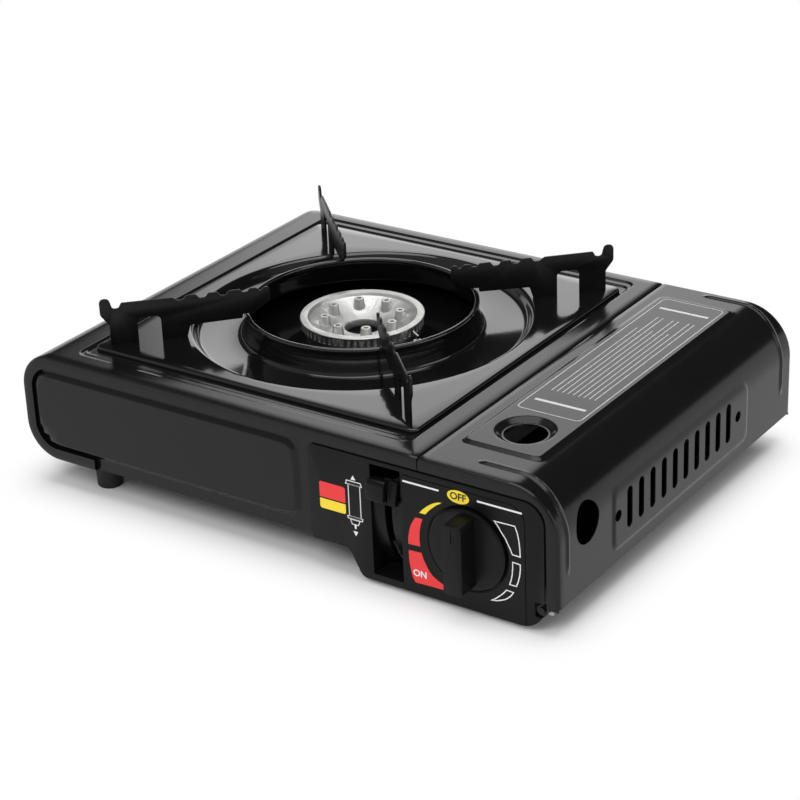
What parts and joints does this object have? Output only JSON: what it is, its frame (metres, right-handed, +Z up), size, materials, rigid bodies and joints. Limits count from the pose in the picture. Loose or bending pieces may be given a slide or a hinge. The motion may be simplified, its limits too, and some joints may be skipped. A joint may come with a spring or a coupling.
{
  "type": "portable gas stove",
  "caption": "Low table-top gas stove with a round burner in a square drip pan, notched pan supports, and a hinged side lid over the canister bay.",
  "frame": {"origin": "middle of the footprint, knob included, on the table", "axes": "+X to the lid side, +Y to the rear, +Z up"},
  "size_m": [0.3459, 0.272, 0.108],
  "materials": {
    "casing_paint": "smooth semi-gloss black paint",
    "enamel": "glossy black enamel",
    "support_paint": "matt black heat-proof coating",
    "burner_metal": "cast, with a machined rim",
    "cast_zinc": "as cast",
    "plated_steel": "zinc plated",
    "brass_parts": "turned",
    "copper_tube": "drawn copper",
    "ceramic": "glazed ceramic",
    "wire_cover": "smooth",
    "igniter_plastic": "moulded",
    "control_plastic": "fine satin moulding",
    "foot_rubber": "matt"
  },
  "bodies": {
    "stove": {"casing_shell": "casing_paint", "front_panel": "casing_paint", "bottom_tray": "casing_paint", "partition_wall": "casing_paint", "burner_well": "enamel", "shell_rivets": "plated_steel", "hinge_pin_front": "plated_steel", "hinge_pin_rear": "plated_steel", "burner_base": "cast_zinc", "flame_ring": "burner_metal", "burner_head": "burner_metal", "mixing_tube": "cast_zinc", "air_shutter": "plated_steel", "gas_nozzle": "brass_parts", "gas_tube": "copper_tube", "burner_screws": "plated_steel", "electrode_insulator": "ceramic", "electrode_tip": "plated_steel", "electrode_bracket": "plated_steel", "igniter_lead": "wire_cover", "piezo_igniter": "igniter_plastic", "control_fascia": "control_plastic", "fascia_screws": "plated_steel", "control_bracket": "plated_steel", "governor_body": "cast_zinc", "diaphragm_cover": "plated_steel", "governor_screws": "plated_steel", "canister_socket": "plated_steel", "socket_inlet": "brass_parts", "lever_bracket": "plated_steel", "cradle_guides": "plated_steel", "front_saddle": "plated_steel", "foot_front_left": "foot_rubber", "foot_rear_left": "foot_rubber", "foot_front_right": "foot_rubber", "foot_rear_right": "foot_rubber", "base_screws": "plated_steel"},
    "lid": {"canister_lid": "casing_paint"},
    "knob": {"control_knob": "control_plastic", "valve_spindle": "brass_parts"},
    "lever": {"lock_lever": "control_plastic", "lever_shaft": "plated_steel", "cradle_crank": "plated_steel"},
    "cradle": {"cradle_pull_bar": "plated_steel", "canister_cradle": "plated_steel"},
    "trivet": {"drip_pan": "enamel", "pan_support_front_left": "support_paint", "pan_support_front_right": "support_paint", "pan_support_rear_left": "support_paint", "pan_support_rear_right": "support_paint"}
  },
  "joints": [
    {"name": "lid_hinge", "type": "hinge", "parent": "stove", "child": "lid", "pos_m": [0.163, 0, 0.0145], "axis": [0, 1, 0], "range_deg": [0, 90]},
    {"name": "knob_turn", "type": "hinge", "parent": "stove", "child": "knob", "pos_m": [0.1212, -0.12, 0.0378], "axis": [0, -1, 0], "range_deg": [0, 140]},
    {"name": "lever_turn", "type": "hinge", "parent": "stove", "child": "lever", "pos_m": [0.0723, -0.062, 0.044], "axis": [1, 0, 0], "range_deg": [0, 36]},
    {"name": "cradle_slide", "type": "slide", "parent": "stove", "child": "cradle", "axis": [0, -1, 0], "range_m": [0, 0.0082]},
    {"name": "trivet_lift", "type": "slide", "parent": "stove", "child": "trivet", "axis": [0, 0, 1], "range_m": [0, 0.06]}
  ],
  "couplings": [
    {"joint": "cradle_slide", "follows": "lever_turn", "m_per_rad": 0.01273}
  ]
}
